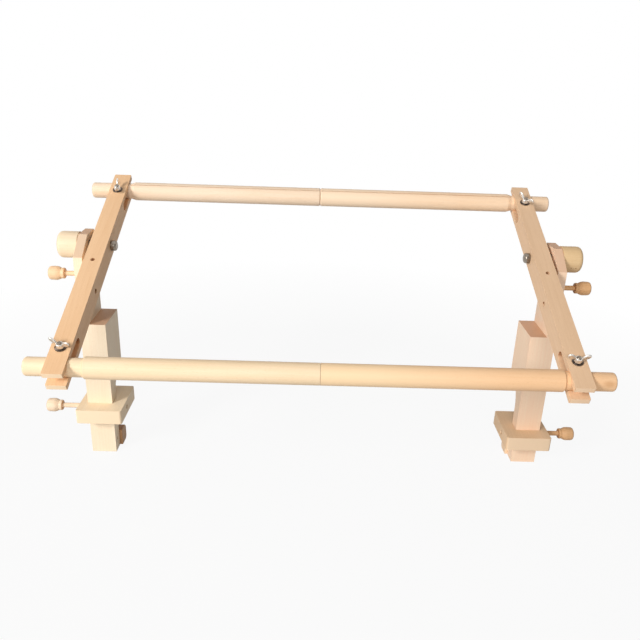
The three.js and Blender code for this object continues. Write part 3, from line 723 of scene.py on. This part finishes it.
def corner_fittings(corner):
    """The clamp bolt, washer and wing nut of one corner, all on the nut's axis."""
    washer_middle = np.array(sum(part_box(f"clamp_washer_{corner}"), Vector())) / 2
    nut_bottom = -NUT_HUB_HEIGHT / 2
    washer_top = nut_bottom - SEAT_GAP
    washer_bottom = washer_top - WASHER_THICKNESS
    axis_foot = washer_middle - frame_up * (washer_top + washer_bottom) / 2
    head_top = washer_bottom - 2 * SEAT_GAP - BAR_HEIGHT
    nut = softened([
        (nut_bottom, NUT_BORE_D / 2, 0), (nut_bottom, NUT_HUB_D / 2, NUT_FOOT_ROUND),
        (-nut_bottom, NUT_HUB_TOP_D / 2, NUT_TOP_ROUND), (-nut_bottom, NUT_BORE_D / 2, NUT_BORE_ROUND),
        (nut_bottom, NUT_BORE_D / 2, 0),
    ])
    turn = math.radians(WING_TURN_DEG[corner])
    wings = [wing(turn + extra) + np.array([nut_bottom, 0, 0]) for extra in (0, math.pi)]
    place_fitting("wing_nut", corner, [turned(nut, FITTING_SIDES), *wings], axis_foot, nickel)
    washer = softened([
        (washer_bottom, NUT_BORE_D / 2, WASHER_BORE_ROUND), (washer_bottom, WASHER_D / 2, WASHER_FOOT_ROUND),
        (washer_top, WASHER_D / 2, FITTING_EDGE), (washer_top, NUT_BORE_D / 2, WASHER_BORE_ROUND),
        (washer_bottom, NUT_BORE_D / 2, WASHER_BORE_ROUND),
    ])
    place_fitting("clamp_washer", corner, [turned(washer)], axis_foot, dark_steel)
    head_bottom = head_top - BOLT_HEAD_HEIGHT
    head = softened([
        (head_top, 0, 0), (head_top, BOLT_HEAD_D / 2, FITTING_EDGE),
        (head_bottom, BOLT_HEAD_D / 2 - HEAD_DOME_INSET, HEAD_DOME_ROUND), (head_bottom, 0, 0),
    ])
    shank = threaded(head_top - SEAT_GAP, -nut_bottom + BOLT_TIP)
    place_fitting("clamp_bolt", corner, [turned(head, FITTING_SIDES), shank], axis_foot, dimmed_reflection_nickel)


def place_fitting(kind, corner, grids, foot, material):
    """One plated piece of a corner, stood up square to the tilted bars."""
    node = f"{kind}_{corner}"
    mesh = shape_mesh(node, [along_frame_up(grid, foot) for grid in grids])
    place_piece(f"plated_{node}", mesh, material, node)


for corner in WING_TURN_DEG:
    corner_fittings(corner)


def pivot_fittings(side_name):
    """The pivot bolt with its low domed head, and the washer between the bar and the arm."""
    side = sides[side_name]
    low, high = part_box(f"pivot_bolt_{side_name}")
    head_end, tip = sorted(abs(x - middle_x) for x in (low.x, high.x))
    seat = head_end + PIVOT_HEAD_HEIGHT
    bolt = softened([
        (head_end, 0, 0), (head_end, PIVOT_HEAD_D / 2 - HEAD_DOME_INSET, HEAD_DOME_ROUND),
        (head_end + PIVOT_DOME_HEIGHT, PIVOT_HEAD_D / 2, PIVOT_DOME_EDGE),
        (seat, PIVOT_HEAD_D / 2, FITTING_EDGE), (seat, PIVOT_BOLT_D / 2, FITTING_EDGE),
        (tip, PIVOT_BOLT_D / 2, PIVOT_TIP_ROUND), (tip, 0, 0),
    ])
    low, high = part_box(f"pivot_washer_{side_name}")
    start, end = sorted(abs(x - middle_x) for x in (low.x, high.x))
    bore = PIVOT_BOLT_D / 2 + SEAT_GAP
    washer = softened([
        (start, bore, WASHER_BORE_ROUND), (start, PIVOT_WASHER_D / 2, FITTING_EDGE),
        (end, PIVOT_WASHER_D / 2, FITTING_EDGE), (end, bore, WASHER_BORE_ROUND),
        (start, bore, WASHER_BORE_ROUND),
    ])
    for kind, profile in (("pivot_bolt", bolt), ("pivot_washer", washer)):
        node = f"{kind}_{side_name}"
        points = along_x(turned(profile, PIVOT_SIDES), side, pivot[1], pivot[2])
        place_piece(f"plated_{node}", shape_mesh(node, [points]), dimmed_reflection_nickel, node)


for side_name in sides:
    pivot_fittings(side_name)

# Small hidden pieces keep their CAD shape and get their own finish
DOWEL_COLOURS = ((240, 206, 160), (216, 172, 124), (200, 152, 104))
dowel_wood = wood("wood_rod_dowels", *DOWEL_COLOURS, ALONG_RODS, (0.1, 0.1, 0.1))
KEPT_NODES = {
    "jaw_pin_left": dark_steel, "jaw_pin_right": dark_steel,
    "knob_insert_left": brass, "knob_insert_right": brass,
    "front_rod_dowel": dowel_wood, "back_rod_dowel": dowel_wood,
}
for node, material in KEPT_NODES.items():
    frame["nodes"][node].data.materials.clear()
    frame["nodes"][node].data.materials.append(material)


def flat_sheet(name, half_wide, half_high):
    """A flat rectangle round the origin."""
    mesh = bpy.data.meshes.new(name)
    corners = [(-half_wide, -half_high, 0), (half_wide, -half_high, 0), (half_wide, half_high, 0),
               (-half_wide, half_high, 0)]
    mesh.from_pydata(corners, [], [(0, 1, 2, 3)])
    return mesh


def seen_directly(tree):
    """One for what the camera, a reflection or a clear piece sees, zero for light on a surface."""
    path = add_node(tree, "ShaderNodeLightPath").outputs
    seen_through = reckon(tree, "MAXIMUM", path["Is Glossy Ray"], path["Is Transmission Ray"])
    return reckon(tree, "MAXIMUM", path["Is Camera Ray"], seen_through)


def make_floor():
    """A wide floor, almost plain white to the camera and in reflections, with the object's faint shadow."""
    mesh = flat_sheet("floor", FLOOR_REACH, FLOOR_REACH)
    floor = bpy.data.objects.new("floor", mesh)
    bpy.context.scene.collection.objects.link(floor)
    material = bpy.data.materials.new("white_floor")
    material.use_nodes = True
    tree = material.node_tree
    tree.nodes.remove(tree.nodes["Principled BSDF"])
    diffuse = add_node(tree, "ShaderNodeBsdfDiffuse", {"Color": FLOOR_TONE})
    white = add_node(tree, "ShaderNodeEmission", {"Color": WHITE, "Strength": 1})
    place = add_node(tree, "ShaderNodeTexCoord")
    distance = add_node(tree, "ShaderNodeVectorMath", operation="LENGTH")
    tree.links.new(place.outputs["Object"], distance.inputs[0])
    far = ranged(tree, distance.outputs["Value"], *FLOOR_FADE, FLOOR_WHITE_SHARE, 1.0)
    mixed = add_node(tree, "ShaderNodeMixShader")
    tree.links.new(reckon(tree, "MULTIPLY", seen_directly(tree), far), mixed.inputs[0])
    tree.links.new(diffuse.outputs[0], mixed.inputs[1])
    tree.links.new(white.outputs[0], mixed.inputs[2])
    tree.links.new(mixed.outputs[0], tree.nodes["Material Output"].inputs["Surface"])
    mesh.materials.append(material)


def make_world():
    """White to the camera and in reflections, and a plain even light on the object."""
    world = bpy.data.worlds.new("studio")
    bpy.context.scene.world = world
    world.use_nodes = True
    tree = world.node_tree
    light = tree.nodes["Background"]
    light.inputs["Color"].default_value = WHITE
    strength = ranged(tree, seen_directly(tree), 0.0, 1.0, WORLD_STRENGTH, 1.0)
    tree.links.new(strength, light.inputs["Strength"])


def aimed(place):
    """A place, with the turn there that points -Z at the object and Y upwards."""
    turn = (Vector(AIM) - Vector(place)).to_track_quat("-Z", "Y").to_matrix().to_4x4()
    return Matrix.Translation(place) @ turn


def make_lamp(name, place, size, watts):
    """A square lamp aimed at the object."""
    lamp = bpy.data.lights.new(name, "AREA")
    lamp.shape = "SQUARE"
    lamp.size = size
    lamp.energy = watts
    holder = bpy.data.objects.new(name, lamp)
    holder.matrix_world = aimed(place)
    bpy.context.scene.collection.objects.link(holder)


def make_dark_card(name, place, size):
    """A dark card seen only in reflections, so that the plated parts have something dark to show."""
    mesh = flat_sheet(f"dark_card_{name}", size[0] / 2, size[1] / 2)
    mesh.transform(aimed(place))
    card = bpy.data.objects.new(f"dark_card_{name}", mesh)
    bpy.context.scene.collection.objects.link(card)
    card.visible_camera = card.visible_diffuse = card.visible_shadow = False
    material = bpy.data.materials.new(f"dark_card_{name}")
    material.use_nodes = True
    material.node_tree.nodes["Principled BSDF"].inputs["Base Color"].default_value = DARK_CARD_TONE
    mesh.materials.append(material)


def make_camera():
    """The photograph's camera: turned right by its yaw, down by its pitch, and rolled."""
    yaw, down, roll = (math.radians(a) for a in (CAMERA_YAW_DEG, CAMERA_DOWN_DEG, CAMERA_ROLL_DEG))
    ahead = Vector((math.sin(yaw) * math.cos(down), math.cos(yaw) * math.cos(down), -math.sin(down)))
    level = Vector((math.cos(yaw), -math.sin(yaw), 0))
    upright = level.cross(ahead)
    right = math.cos(roll) * level + math.sin(roll) * upright
    up = -math.sin(roll) * level + math.cos(roll) * upright
    data = bpy.data.cameras.new("camera")
    data.lens = CAMERA_LENS_MM
    data.sensor_width = CAMERA_SENSOR_MM
    camera = bpy.data.objects.new("camera", data)
    turn = Matrix((right, up, -ahead)).transposed().to_4x4()
    middle = Vector((middle_x, pivot[1], pivot[2]))
    camera.matrix_world = Matrix.Translation(middle + Vector(CAMERA_FROM_PIVOT)) @ turn
    bpy.context.scene.collection.objects.link(camera)
    bpy.context.scene.camera = camera


make_floor()
make_world()
for lamp_name, (lamp_place, lamp_size, lamp_watts) in LAMPS.items():
    make_lamp(f"{lamp_name}_lamp", lamp_place, lamp_size, lamp_watts)
for card_name, (card_place, card_size) in DARK_CARDS.items():
    make_dark_card(card_name, card_place, card_size)
make_camera()
bpy.context.scene.view_settings.view_transform = "Standard"
